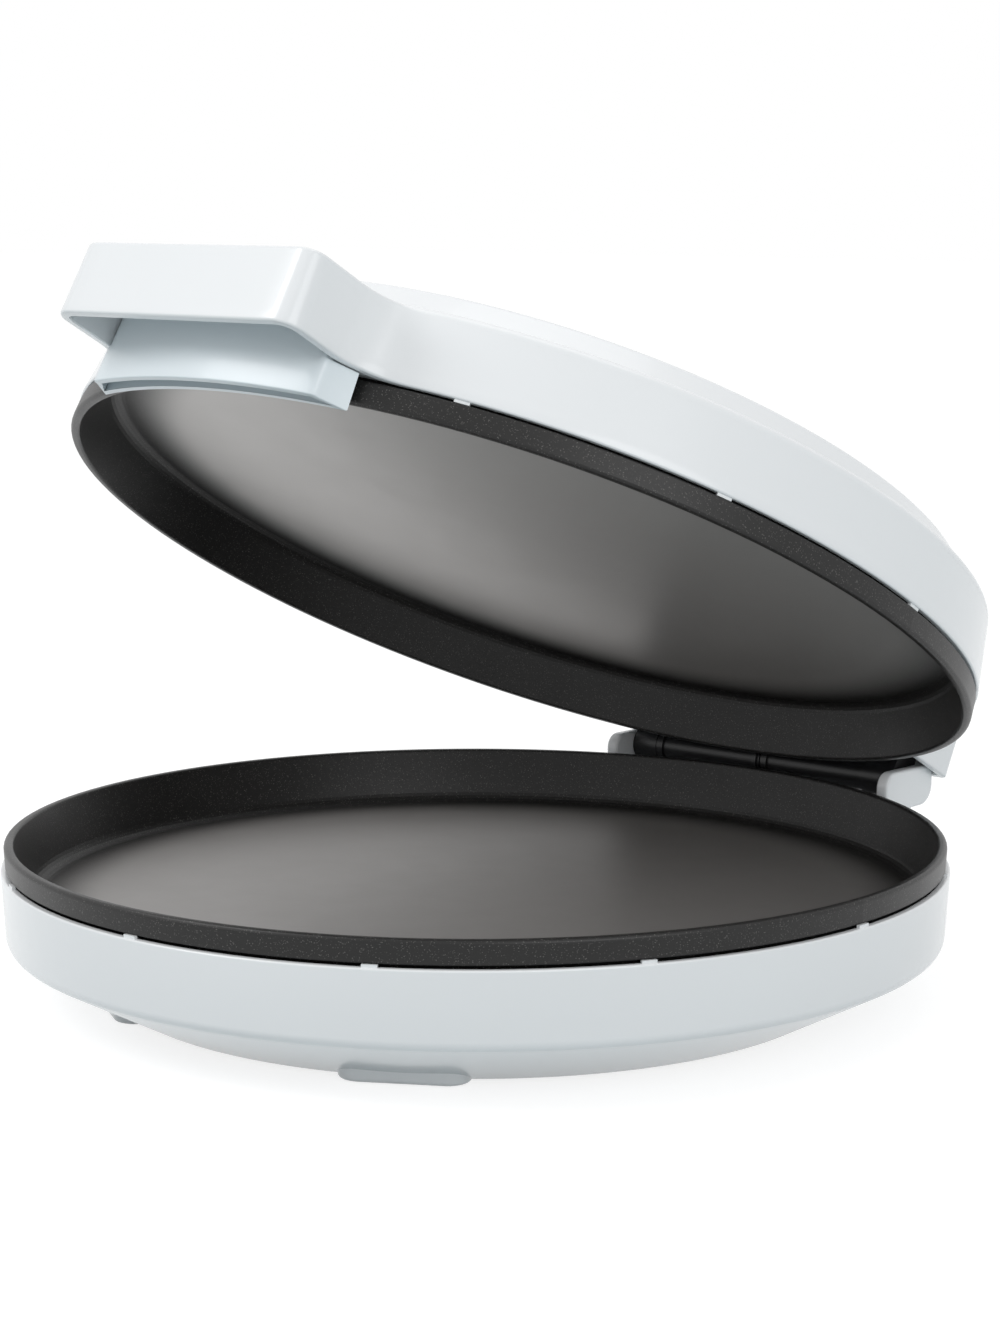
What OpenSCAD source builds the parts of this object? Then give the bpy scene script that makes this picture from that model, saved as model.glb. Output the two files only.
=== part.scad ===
// Round electric countertop cooker with two non-stick pans, one in the base
// and one in a hinged lid that is opened by a flared handle.
// The origin is on the table, under the centre of the base; the handle points
// to -Y and the hinge lies along X at the back. Sizes are in millimetres.

/* [Overall] */
// Height of the base pan's rim above the table
rim_h = 54.6; // [46:0.2:66]
// Opening angle of the lid as it is drawn
open_angle = 28.5; // [0:0.5:100]
// Gap between the two pan rims when the lid is shut
rim_gap = 0.5; // [0.3:0.1:1.5]

/* [Pans] */
// Outer radius of the base pan's rim
pan_r = 163; // [150:0.5:175]
// How far the lid pan's rim reaches out past the base pan's
lid_pan_over = 1.2; // [0:0.1:1.5]
// Depth of each pan from rim to cooking floor
pan_depth = 20; // [12:0.5:21]
// Width of the flat land on top of the rim
pan_land = 3.2; // [3:0.1:5]
// How far the pan wall leans in from rim to floor
pan_lean = 6; // [3:0.5:12]
// Thickness of the pan floor
pan_floor_t = 2.6; // [2:0.1:3.5]
// Thickness of the pan wall
pan_wall_t = 2.4; // [1.8:0.1:2.8]
// Height of the rim band that shows between the housings
band_h = 8; // [6:0.5:10]
// Fillet between the cooking floor and the pan wall
pan_fillet = 5; // [2:0.5:8]

/* [Base housing] */
// How far the base housing's top edge stands out past the base pan's rim
base_proud = 1.1; // [0.5:0.1:4]
// Wall thickness of the mouldings
wall = 2.6; // [2:0.1:3]
// Open seam between a pan band and its housing
seam = 1; // [0.6:0.1:1.6]
// How much the side band narrows towards its lower edge
base_draft = 1.6; // [0.5:0.1:3]
// Height above the table where the band turns under
band_foot_z = 20.6; // [16:0.2:26]
// Radius of the turn from band to underside
band_turn = 4.5; // [2:0.5:8]
// How far the flat bottom's edge lies inside the housing's top edge
bottom_in = 38.6; // [34:0.2:41]
// Height of the flat bottom above the table
bottom_z = 1.2; // [0.8:0.1:4]
// Number of spacer tabs round each seam
tab_count = 12; // [6:1:24]
// Width of one spacer tab
tab_w = 5; // [3:0.5:8]

/* [Feet] */
// How far the middle of a foot lies inside the housing's top edge
foot_in = 42.8; // [40:0.2:52]
// Length of a foot along the rim
foot_l = 44; // [30:1:55]
// Width of a foot towards the centre
foot_w = 22; // [16:0.5:24]
// Angle of each foot from the front or back
foot_angle = 31; // [20:1:40]
// How far a rubber pad stands below its foot
pad_proud = 0.5; // [0.3:0.1:1]

/* [Lid housing] */
// How far the lid skirt's lower edge stands out past the base pan's rim
lid_proud = 1; // [0.5:0.1:4]
// Height of the skirt from lower edge to shoulder
skirt_h = 27; // [22:0.5:32]
// How much the skirt narrows up to the shoulder
skirt_draft = 3.9; // [2:0.1:6]
// Rounding of the shoulder
shoulder_r = 3.2; // [2:0.1:4]
// How far the raised cap's edge lies inside the skirt's lower edge
cap_in = 11.6; // [11:0.2:24]
// Height of the cap's side
cap_side_h = 9; // [5:0.5:14]
// Rise of the cap from its edge to its centre
cap_crown = 4.4; // [1:0.2:10]
// Thickness of the cap
cap_t = 2.2; // [1.6:0.1:3]

/* [Handle] */
// How far the handle's front face stands out from the skirt
handle_reach = 29; // [24:0.5:42]
// Half width of the handle
handle_half_w = 52.8; // [45:0.2:60]
// Radius of the handle's front corners
handle_corner_r = 8; // [6:0.5:12]
// Radius of the blend from handle to skirt
handle_blend_r = 24; // [16:0.5:30]
// How much the handle narrows towards its top on each side
handle_draft = 1; // [0.5:0.1:3]
// How far the handle's top lies below the shoulder
handle_drop = 1.6; // [1:0.1:4]
// Rounding of the handle's upper edge
handle_edge_r = 1.2; // [0.5:0.1:2]
// Wall thickness of the handle
handle_wall = 3.6; // [2.5:0.1:4.5]
// How far the liner's front face stands out from the skirt
liner_reach = 12.6; // [10:0.2:15]
// Gap between the liner's rear face and the lid pan's rim
liner_clear = 3.1; // [1.5:0.1:4]
// How far the liner's ends spread where they stand below the handle
liner_flare = 5.4; // [0:0.2:7]
// How far the liner hangs below the skirt's edge
liner_drop = 13.1; // [8:0.1:15]
// Wall thickness of the liner
liner_t = 2.4; // [1.8:0.1:2.6]

/* [Hinge] */
// How far the hinge axis lies behind the base housing's top edge
hinge_reach = 8.4; // [7.6:0.1:12]
// Height of the hinge axis above the base pan's rim
hinge_rise = 1; // [0.5:0.1:2]
// Radius of the hinge pins
pin_r = 3; // [2.5:0.1:3.2]
// Radial running clearance of the pins
pin_clear = 0.05; // [0.02:0.01:0.09]
// Half the distance between the two ears
ear_x = 62; // [58:0.5:63]
// Thickness of an ear
ear_t = 5; // [4.5:0.1:5.5]
// Outer radius of the wire guard between the ears
guard_r = 6; // [5.2:0.1:6.4]
// How far the hood reaches past each ear
hood_side = 4.5; // [3.6:0.1:8]
// Distance of the hood's back face behind the hinge axis
hood_back = 15.5; // [15.2:0.1:18]
// Height of the shelf's top under the hinge axis
shelf_drop = 13; // [12:0.5:15]

/* [Heating] */
// How far the heating elements' mean radius lies inside the base pan's rim
element_in = 58; // [57:0.5:73]
// Radius of a heating element's tube
element_tube_r = 3.3; // [2.5:0.1:3.5]
// How far the screw posts lie inside the base pan's rim
post_in = 43; // [41:0.5:46]
// Length of a pan's screw posts
post_l = 10; // [9:0.1:11]
// Thickness of the reflector sheets
reflector_t = 0.8; // [0.5:0.1:1]
// Radius of the screw shafts
screw_r = 1.9; // [1.5:0.1:2.1]

/* [Cord gland] */
// Radius of the cord hole
cord_r = 3.2; // [2.5:0.1:3.6]
// Length of the gland's nose outside the housing
gland_nose = 5; // [3:0.5:8]

/* [Lamps] */
// Radius of a lamp lens
lens_r = 3.5; // [2.5:0.1:5]
// Distance between the two lamps
lamp_pitch = 28; // [16:1:40]
// How far the lamps lie inside the cap's edge
lamp_in = 24.4; // [19:0.2:42]

/* [Hidden] */
$fn = 96;

shell_white = "#e9eef1";
liner_white = "#cfdde3";
pan_black = "#3b3a3a";
hinge_black = "#1b1b1c";
steel = "#b9bdc0";
bright = "#d8dadb";
rubber = "#8d9498";

fit = 0.05;                 // gap between parts that seat on each other
slide = 0.3;                // gap between parts that pass each other
arc_steps = 5;              // segments in one rounded corner
lid_pan_r = pan_r + lid_pan_over;
base_r = pan_r + base_proud;
bottom_r = base_r - bottom_in;
foot_ring_r = base_r - foot_in;
lid_r = pan_r + lid_proud;
cap_r = lid_r - cap_in;
handle_y = lid_r + handle_reach;
liner_front_r = lid_r + liner_reach;
liner_back_r = lid_pan_r + liner_clear;
hinge_y = base_r + hinge_reach;
hood_half_w = ear_x + ear_t + hood_side;
hood_y = hinge_y + hood_back;
element_r = pan_r - element_in;
post_ring_r = pan_r - post_in;
lamp_y = cap_r - lamp_in;
hinge_z = rim_h + hinge_rise;
base_top_z = rim_h - band_h - seam;
band_foot_r = base_r - base_draft;
skirt_z = rim_gap + band_h + seam + 0.1;     // skirt's lower edge above the rim plane
shoulder_z = skirt_z + skirt_h;
draft = skirt_draft / skirt_h;
shoulder_lip = 1.8;         // rise of the top from shoulder to cap seat
seat_z = shoulder_z + shoulder_lip;
web_t = 2.4;                // thickness of the lid's top web
web_z = seat_z - web_t;
pan_back = pan_depth + pan_floor_t;          // depth of a pan's underside below its rim
post_r = 5;
screw_gap = 0.1;
post_angles = [0, 90, 180, 270];
clip_angles = [45, 135, 225, 315];
foot_angles = [-foot_angle, foot_angle, 180 - foot_angle, 180 + foot_angle];

function unit(v) = v / norm(v);
function xy(p) = [p[0], p[1]];
// Points of one corner of an outline, rounded with the radius in its third value
function corner(a, p, c) =
    let (b = xy(p), r = len(p) > 2 ? p[2] : 0)
    r <= 0 ? [b] :
    let (u = unit(a - b), v = unit(c - b), half = acos(u * v) / 2,
         centre = b + unit(u + v) * r / sin(half),
         first = b + u * r / tan(half) - centre,
         last = b + v * r / tan(half) - centre,
         a0 = atan2(first[1], first[0]),
         turn = atan2(last[1], last[0]) - a0,
         sweep = turn > 180 ? turn - 360 : turn < -180 ? turn + 360 : turn)
    [for (i = [0:arc_steps]) let (t = a0 + sweep * i / arc_steps) centre + r * [cos(t), sin(t)]];
function rounded(p) = let (n = len(p))
    [for (i = [0:n - 1]) each corner(xy(p[(i + n - 1) % n]), p[i], xy(p[(i + 1) % n]))];
function arc(centre, r, a0, a1, n) =
    [for (i = [0:n]) let (t = a0 + (a1 - a0) * i / n) centre + r * [cos(t), sin(t)]];
function raise(points, z) = [for (p = points) [p[0], p[1], z]];
function mirrored(points) = [for (i = [len(points) - 1:-1:0]) [-points[i][0], points[i][1]]];

// Solid of revolution from an outline of [radius, height, corner radius]
module turned(outline) rotate_extrude(angle = 360, $fn = 180) polygon(rounded(outline));

// Solid skinned over rings of n points, n even, from the lowest up. Each end is a strip
// between the ring's first half and its second half, counted backwards.
module skinned(rings) {
    n = len(rings[0]);
    last = len(rings) - 1;
    top = last * n;
    polyhedron(
        points = [for (r = rings) each r],
        faces = concat(
            [for (i = [0:n / 2 - 2]) each [[i, i + 1, n - 1 - i], [i + 1, n - 2 - i, n - 1 - i]]],
            [for (k = [0:last - 1], i = [0:n - 1]) [k * n + i, (k + 1) * n + i, k * n + (i + 1) % n]],
            [for (k = [0:last - 1], i = [0:n - 1])
                [k * n + (i + 1) % n, (k + 1) * n + i, (k + 1) * n + (i + 1) % n]],
            [for (i = [0:n / 2 - 2])
                each [[top + i, top + n - 1 - i, top + i + 1],
                      [top + i + 1, top + n - 1 - i, top + n - 2 - i]]]));
}

// Places lid parts: z is measured from the base pan's rim plane with the lid shut
module on_lid()
    translate([0, hinge_y, hinge_z]) rotate([-open_angle, 0, 0])
        translate([0, -hinge_y, -hinge_rise]) children();
module on_lid_pan() on_lid() translate([0, 0, rim_gap]) mirror([0, 0, 1]) children();
module on_base_pan() translate([0, 0, rim_h]) children();
// Profile in the YZ plane, extruded along X from x0 to x1
module along_x(x0, x1) translate([x0, 0, 0]) rotate([90, 0, 90]) linear_extrude(x1 - x0) children();
module each_side() for (s = [0, 1]) mirror([s, 0, 0]) children();

// A pan with its rim at z = 0, opening upwards
module pan(r) {
    inner_r = r - pan_land;
    floor_r = inner_r - pan_lean;
    back_lean = pan_lean * (pan_back - band_h) / pan_depth;
    shoulder = inner_r - pan_lean * band_h / pan_depth + pan_wall_t;
    difference() {
        union() {
            turned([[0, -pan_back], [shoulder - back_lean, -pan_back, 6], [shoulder, -band_h],
                    [r - 0.5, -band_h, 0.6], [r, 0, 1.4], [inner_r, 0, 1.1],
                    [floor_r, -pan_depth, pan_fillet], [0, -pan_depth]]);
            for (a = post_angles) rotate([0, 0, a]) translate([post_ring_r, 0, -pan_back - post_l])
                cylinder(r = post_r, h = post_l + 1);
        }
        for (a = post_angles) rotate([0, 0, a]) translate([post_ring_r, 0, -pan_back - post_l - 1])
            cylinder(r = screw_r + screw_gap, h = post_l);
    }
}
module base_pan() color(pan_black) on_base_pan() pan(pan_r);
module lid_pan() color(pan_black) on_lid_pan() pan(lid_pan_r);

// Heating element: an open ring under the pan floor with two cold pins
element_z = -pan_back - fit - element_tube_r;
module element() {
    gap_angle = 16;
    pin_l = 8;
    sleeve_r = element_tube_r - 0.9;
    rotate([0, 0, 90 + gap_angle]) rotate_extrude(angle = 360 - 2 * gap_angle, $fn = 120)
        translate([element_r, element_z]) circle(r = element_tube_r, $fn = 32);
    for (s = [-1, 1]) rotate([0, 0, 90 + s * (gap_angle + 1.6)]) translate([element_r, 0, element_z]) {
        rotate([0, 90, 0]) cylinder(r = sleeve_r, h = pin_l, $fn = 32);
        rotate([0, 90, 0]) cylinder(r = 1.2, h = pin_l + 6, $fn = 24);
    }
}
module base_element() color(steel) on_base_pan() element();
module lid_element() color(steel) on_lid_pan() element();

// Spring clip: a strap over the element with a tab on each side
module clip(i) {
    clip_w = 10;
    strap_t = 1;
    arch_r = element_tube_r + 0.15 + strap_t;
    reach = 9;
    tube_z = element_z + pan_back + fit;     // the tube's axis below the strap's face
    rotate([0, 0, clip_angles[i - 1]]) translate([element_r, clip_w / 2, -pan_back - fit])
        rotate([90, 0, 0]) linear_extrude(clip_w) difference() {
            union() {
                translate([-reach, -strap_t]) square([2 * reach, strap_t]);
                translate([-arch_r, tube_z]) square([2 * arch_r, -tube_z]);
                translate([0, tube_z]) circle(r = arch_r, $fn = 48);
            }
            translate([0, tube_z]) circle(r = arch_r - strap_t, $fn = 48);
            translate([-arch_r + strap_t, tube_z]) square([2 * (arch_r - strap_t), 2 * arch_r]);
        }
}
module base_clip(i) color(bright) on_base_pan() clip(i);
module lid_clip(i) color(bright) on_lid_pan() clip(i);

// Reflector: a thin dished sheet clamped between the pan's posts and the housing's posts
reflector_z = -pan_back - post_l - fit;
module reflector() {
    rise = 2;
    flat_r = post_ring_r + 12;
    difference() {
        turned([[0, reflector_z - reflector_t], [flat_r, reflector_z - reflector_t],
                [flat_r + 8, reflector_z - reflector_t + rise], [flat_r + 8, reflector_z + rise],
                [flat_r, reflector_z], [0, reflector_z]]);
        for (a = post_angles) rotate([0, 0, a])
            translate([post_ring_r, 0, reflector_z - 2]) cylinder(r = screw_r + 0.3, h = 4);
    }
}
module base_reflector() color(bright) on_base_pan() reflector();
module lid_reflector() color(bright) on_lid_pan() reflector();
clamp_drop = -reflector_z + reflector_t + fit;   // housing posts end this far from the rim plane

// Screw with its head at z = 0, pointing up
module screw(l, head_r = 3.6, head_h = 2.4) {
    cylinder(r = head_r, h = head_h);
    translate([0, 0, head_h]) cylinder(r = screw_r, h = l);
}
screw_bite = 7;             // how far a screw reaches into a pan's post
post_outer_r = 6;
head_well_r = 4.4;
head_well_z = bottom_z + 4.5;
base_post_top = rim_h - clamp_drop;
module base_screw(i) color(steel)
    rotate([0, 0, post_angles[i - 1]]) translate([post_ring_r, 0, head_well_z - fit - 2.4])
        screw(rim_h + reflector_z + screw_bite - head_well_z);
module lid_screw(i) color(steel)
    on_lid() rotate([0, 0, post_angles[i - 1]])
        translate([post_ring_r, 0, seat_z + fit + 2.4]) mirror([0, 0, 1])
            screw(seat_z - rim_gap + reflector_z + screw_bite);

// Spacer tabs that hold the seam open between a pan's band and its housing
module tabs(r, z, h) for (i = [0:tab_count - 1]) rotate([0, 0, 360 * i / tab_count])
    translate([r - wall + 0.6, -tab_w / 2, z]) cube([wall - 1.4, tab_w, h]);

// Base housing
under_slope = atan((band_foot_z - bottom_z) / (band_foot_r - bottom_r));
module base_shell() turned([
    [0, bottom_z], [bottom_r, bottom_z, 2], [band_foot_r, band_foot_z, band_turn],
    [base_r, base_top_z, 0.7], [base_r - wall, base_top_z, 0.4],
    [band_foot_r - wall, band_foot_z + wall * (1 / cos(under_slope) - tan(under_slope)), 3],
    [bottom_r - wall * (1 / cos(under_slope) - 1) / tan(under_slope), bottom_z + wall, 1],
    [0, bottom_z + wall]]);
foot_corner_r = 8;
foot_lean = 0.6;
foot_h = 6.4;               // top of a foot, inside the sloping wall at its outer corners
pad_inset = 3;
pad_recess = 1;
function foot_outline(d) = let (x = foot_l / 2 - d, y = foot_w / 2 - d, r = foot_corner_r - d)
    rounded([[-x, -y, r], [x, -y, r], [x, y, r], [-x, y, r]]);
module on_foot(i) rotate([0, 0, foot_angles[i - 1]]) translate([0, -foot_ring_r, 0]) children();
module foot() skinned([
    raise(foot_outline(foot_lean + 1), pad_proud), raise(foot_outline(foot_lean), pad_proud + 1),
    raise(foot_outline(0), foot_h)]);
// Room over the middle of the bottom wall, which keeps the feet's tops inside that wall
module over_bottom() turned([
    [0, bottom_z + wall / 2], [bottom_r - wall / 2 * tan(under_slope / 2), bottom_z + wall / 2],
    [base_r, bottom_z + wall / 2 + (bottom_in + wall / 2 * tan(under_slope / 2)) * tan(under_slope)],
    [0, rim_h]]);
module foot_pad(i) color(rubber) on_foot(i) linear_extrude(pad_proud + pad_recess - fit)
    polygon(foot_outline(foot_lean + pad_inset));

// Ear that carries a hinge pin, outlined from the hinge axis
ear_front = -17.3;
ear_rear = 13.6;
ear_top = 5.1;
ear_foot_y = sqrt(pow(base_r - wall, 2) - pow(ear_x + ear_t, 2)) - hinge_y;   // inside the side band
module ear_outline() polygon(rounded([
    [ear_front, ear_top, 4.5], [ear_rear, ear_top, 2.5], [ear_rear, -9.9, 7.5], [-1, -9.9, 2],
    [-4, -shelf_drop - 14], [ear_foot_y, -shelf_drop - 14], [ear_foot_y, -11.5], [ear_front, -11.5, 1.5]]));
shelf_h = 20;
shelf_back = 4.3;           // back face of the shelf behind the hinge axis
module shelf() along_x(-ear_x - 1, ear_x + 1) polygon(rounded([
    [ear_foot_y, -shelf_drop - shelf_h], [shelf_back, -shelf_drop - shelf_h, 2],
    [shelf_back, -shelf_drop, 1.5], [ear_foot_y, -shelf_drop]]));
module pin_bore() translate([ear_x - 1, 0, 0]) rotate([0, 90, 0])
    cylinder(r = pin_r + pin_clear, h = 1 + pin_seat);
pin_seat = 3.8;             // depth of a pin's seat in its ear
gland_z = -shelf_drop - 11.5;
gland_body_r = cord_r + 2;
gland_in = -14;             // inner end of the gland, from the hinge axis
module on_hinge() translate([0, hinge_y, hinge_z]) children();

module base_housing() color(shell_white) difference() {
    union() {
        base_shell();
        tabs(base_r, base_top_z - 1, 1 + seam - fit);
        difference() {
            for (i = [1:4]) on_foot(i) foot();
            over_bottom();
        }
        for (a = post_angles) rotate([0, 0, a]) translate([post_ring_r, 0, bottom_z + wall / 2])
            cylinder(r = post_outer_r, h = base_post_top - bottom_z - wall / 2);
        difference() {
            on_hinge() {
                each_side() along_x(ear_x, ear_x + ear_t) ear_outline();
                shelf();
            }
            cylinder(r = base_r - wall / 2, h = rim_h + 20, $fn = 180);
        }
    }
    on_hinge() each_side() pin_bore();
    for (a = post_angles) rotate([0, 0, a]) translate([post_ring_r, 0, 0]) {
        cylinder(r = head_well_r, h = head_well_z);
        cylinder(r = screw_r + 0.2, h = base_post_top + 1);
    }
    for (i = [1:4]) on_foot(i) translate([0, 0, -1]) linear_extrude(1 + pad_proud + pad_recess)
        polygon(foot_outline(foot_lean + pad_inset - 0.2));
    on_hinge() translate([0, -20, gland_z]) rotate([-90, 0, 0])
        cylinder(r = gland_body_r + fit, h = 40);
}

// Rubber gland in the back of the shelf, where the power cord goes in
module cord_gland() color(hinge_black) on_hinge() translate([0, 0, gland_z]) rotate([-90, 0, 0])
    difference() {
        union() {
            translate([0, 0, gland_in]) cylinder(r = gland_body_r, h = shelf_back - gland_in + 1);
            translate([0, 0, shelf_back + fit]) cylinder(r = gland_body_r + 2, h = 2.5);
            translate([0, 0, shelf_back]) cylinder(r = gland_body_r - 0.5, h = 2.5 + gland_nose);
        }
        translate([0, 0, gland_in - 1]) cylinder(r = cord_r, h = 60);
    }

// Hinge pin: runs from the ear through the yoke into the wire guard
pin_end = 44;
module hinge_pin() color(steel) on_hinge() translate([pin_end, 0, 0]) rotate([0, 90, 0])
    cylinder(r = pin_r, h = ear_x + pin_seat - fit - pin_end);
module hinge_pin_left() mirror([1, 0, 0]) hinge_pin();
module hinge_pin_right() hinge_pin();

// Electrical pieces inside the base
module thermostat() color(bright) on_base_pan() translate([0, 0, -pan_back - fit]) mirror([0, 0, 1]) {
    translate([-14, -5, 0]) cube([28, 10, 1]);
    cylinder(r = 8.5, h = 6);
    for (s = [-1, 1]) translate([s * 4 - 1.5, -0.4, 5]) cube([3, 0.8, 4]);
}
fuse_y = element_r - 57;
module thermal_fuse() color("#c9b98e") on_base_pan() translate([0, fuse_y, -pan_back - fit - 2.5]) {
    translate([-9, 0, 0]) rotate([0, 90, 0]) cylinder(r = 2.5, h = 18, $fn = 32);
    translate([-15, 0, 0]) rotate([0, 90, 0]) cylinder(r = 0.6, h = 30, $fn = 24);
}
terminal_y = post_ring_r - 32;
module terminal_block() color("#e8e2d0") translate([30, terminal_y, bottom_z + wall + fit]) difference() {
    cube([30, 16, 11]);
    for (i = [0:2]) translate([5 + 10 * i, -1, 6]) rotate([-90, 0, 0])
        cylinder(r = 1.8, h = 18, $fn = 24);
    for (i = [0:2], k = [0, 1]) translate([5 + 10 * i, 4 + 8 * k, 8])
        cylinder(r = 1.6, h = 4, $fn = 24);
}

// Lid housing
module skirt_body() turned([
    [0, skirt_z], [lid_r, skirt_z, 0.7], [lid_r - skirt_draft, shoulder_z, shoulder_r],
    [lid_r - skirt_draft - 6, seat_z, 0.6], [0, seat_z]]);
module skirt_hollow() turned([
    [0, -20], [lid_r - wall, -20], [lid_r - wall, skirt_z],
    [lid_r - wall - skirt_draft, web_z, 2], [0, web_z]]);
// Plan of the handle inset by d: front corners, flanks and the blends into the skirt,
// whose radius at that height is skirt
blend_steps = 7;
blend_bite = 1;             // the blends dip this far into the skirt
handle_top = shoulder_z - handle_drop;
function skirt_at(z) = lid_r - draft * (z - skirt_z);
function handle_outline(d, skirt) =
    let (corner_at = [handle_half_w - handle_corner_r, -handle_y + handle_corner_r],
         front = arc(corner_at, handle_corner_r - d, -90, 0, 6),
         x = handle_half_w - d + handle_blend_r,
         y = -sqrt(pow(skirt - blend_bite + handle_blend_r, 2) - pow(x, 2)),
         blend = arc([x, y], handle_blend_r, 180, atan2(-y, -x), blend_steps),
         half = concat(front, blend))
    concat(mirrored(half), half);
module handle_body() skinned(concat(
    [raise(handle_outline(0.7, lid_r), skirt_z), raise(handle_outline(0.2, lid_r), skirt_z + 0.2),
     raise(handle_outline(0, lid_r), skirt_z + 0.7)],
    [for (i = [0:4]) let (r = handle_edge_r, z = handle_top - r + r * sin(22.5 * i))
        raise(handle_outline(handle_draft + r * (1 - cos(22.5 * i)), skirt_at(z)), z)]));
module handle_hollow() let (z = handle_top - handle_wall) skinned([
    raise(handle_outline(handle_wall, lid_r), skirt_z - 1),
    raise(handle_outline(handle_wall + handle_draft, skirt_at(z)), z)]);
// Hood over the hinge
hood_z = 6;
hood_top = 31.5;
hood_wall = 3.2;
hood_edge_z = 8.5;
hood_root = hinge_y - 32.5;     // the hood starts here, inside the skirt
function hood_outline(d) = let (x = hood_half_w - d, y = hood_y - d)
    rounded([[-x, hood_root], [x, hood_root], [x, y, 7 - d], [-x, y, 7 - d]]);
module hood_body() skinned(concat(
    [raise(hood_outline(0.4), hood_z), raise(hood_outline(0), hood_z + 0.4)],
    [for (i = [0:4]) let (t = 90 * i / 4) raise(hood_outline(4 * (1 - cos(t))), hood_top - 4 + 4 * sin(t))]));
module hood_hollow() {
    x = hood_half_w - hood_wall;
    translate([-x, hood_root - 10, -1])
        cube([2 * x, hood_y - hood_wall - hood_root + 10.4, hood_top - hood_wall + 1]);
    translate([-x, hood_root - 10, -1]) cube([2 * x, hood_y - hood_root + 15, hood_edge_z + 1]);
}
yoke_screw_x = 34;
yoke_screw_y = 5;           // behind the hinge axis
yoke_plate = [19, 22];      // lower and upper face of the yoke's plate above the axis
module on_axis() translate([0, hinge_y, hinge_rise]) children();

module lid_housing() color(shell_white) on_lid() difference() {
    union() {
        difference() {
            union() {
                difference() {
                    handle_body();
                    difference() {
                        handle_hollow();
                        skirt_body();
                    }
                }
                difference() {
                    hood_body();
                    difference() {
                        hood_hollow();
                        skirt_body();
                    }
                    translate([0, 0, -1]) cylinder(r = lid_pan_r + 0.8, h = 1 + skirt_z, $fn = 180);
                }
                skirt_body();
            }
            skirt_hollow();
        }
        tabs(lid_r, skirt_z - seam + fit, 1 + seam - fit);
        for (a = post_angles) rotate([0, 0, a]) translate([post_ring_r, 0, rim_gap + clamp_drop])
            cylinder(r = post_outer_r, h = web_z + 1 - rim_gap - clamp_drop);
        on_axis() each_side() translate([yoke_screw_x, yoke_screw_y, yoke_plate[1] + fit])
            cylinder(r = 4.5, h = hood_top - hood_wall / 2 - hinge_rise - yoke_plate[1]);
    }
    for (a = post_angles) rotate([0, 0, a]) translate([post_ring_r, 0, 20])
        cylinder(r = screw_r + 0.2, h = 30);
    on_axis() each_side() translate([yoke_screw_x, yoke_screw_y, 0])
        cylinder(r = screw_r + screw_gap, h = yoke_plate[1] + 6);
    for (a = [45:90:315]) rotate([0, 0, a]) translate([cap_peg_r, 0, web_z - 1])
        cylinder(r = cap_peg + 0.1, h = web_t + 2);
}

// Cap on top of the lid, held by four pegs
cap_peg_r = cap_r - 22.4;
cap_peg = 3;
cap_lean = 6;
cap_z = seat_z + fit;
function crown_z(r) = cap_z + cap_side_h + cap_crown * (1 - pow(r / (cap_r - cap_lean), 2));
function crown(r0, n) = [for (i = [1:n]) let (r = r0 * (n - i) / n) [r, crown_z(r)]];
module cap_body(d) polygon(concat(
    rounded([[0, cap_z - 2 * d], [cap_r - d, cap_z - 2 * d], [cap_r - d, cap_z],
             [cap_r - cap_lean - d, cap_z + cap_side_h - d, 3 - d], [110, crown_z(110) - d]]),
    [for (p = crown(110, 5)) [p[0], p[1] - d]]));
module lid_cap() color(shell_white) on_lid() difference() {
    union() {
        difference() {
            rotate_extrude($fn = 180) cap_body(0);
            rotate_extrude($fn = 180) cap_body(cap_t);
        }
        for (a = [45:90:315]) rotate([0, 0, a]) translate([cap_peg_r, 0, web_z])
            cylinder(r = cap_peg, h = crown_z(cap_peg_r) - web_z - cap_t / 2);
    }
    for (s = [-1, 1]) translate([s * lamp_pitch / 2, -lamp_y, cap_z]) cylinder(r = lens_r + 0.1, h = 30);
}
lens_rim = 1.2;             // thickness of the rim that holds a lens under the cap
lens_seat = 0.5;            // the rim's gap under the middle of the cap's sloping wall
module lens() {
    z = crown_z(norm([lamp_y, lamp_pitch / 2]));
    translate([0, -lamp_y, z]) rotate_extrude($fn = 48) polygon(rounded([
        [0, -cap_t - 3], [lens_r - 0.6, -cap_t - 3], [lens_r - 0.6, -cap_t - lens_seat - lens_rim],
        [lens_r + 1, -cap_t - lens_seat - lens_rim], [lens_r + 1, -cap_t - lens_seat],
        [lens_r, -cap_t - lens_seat],
        [lens_r, 0.9, 0.7], [0, 1.3]]));
}
module power_lens() color("#c8452e") on_lid() translate([-lamp_pitch / 2, 0, 0]) lens();
module ready_lens() color("#3f9b57") on_lid() translate([lamp_pitch / 2, 0, 0]) lens();

// Double-walled liner that closes the inner side of the handle
liner_top = handle_top - handle_wall - fit;
liner_low = skirt_z - liner_drop;
liner_side = handle_half_w - handle_wall - 0.8;     // half width inside the handle
liner_lean = 1.6;           // the liner's front face leans back this far towards its top
groove_h = 10;              // depth of the open groove between the walls
groove_floor = 3;
function liner_outline(z, flare) =
    let (rise = (z - liner_low) / (liner_top - liner_low),
         side = liner_side - handle_draft * rise,
         r = liner_front_r - liner_lean * rise,
         front_a = asin((side + flare * 0.2 - 2.6) / r), near_a = asin((side + flare * 0.2) / (r - 2.2)),
         edge_a = near_a - 0.35,
         back_a = asin((side + flare) / liner_back_r))
    concat(arc([0, 0], r, -90 - front_a, -90 + front_a, 16),
           [(r - 0.7) * [sin(edge_a), -cos(edge_a)], (r - 2.6) * [sin(near_a), -cos(near_a)]],
           arc([0, 0], liner_back_r, -90 + back_a, -90 - back_a, 16),
           [(r - 2.6) * [-sin(near_a), -cos(near_a)], (r - 0.7) * [-sin(edge_a), -cos(edge_a)]]);
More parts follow.
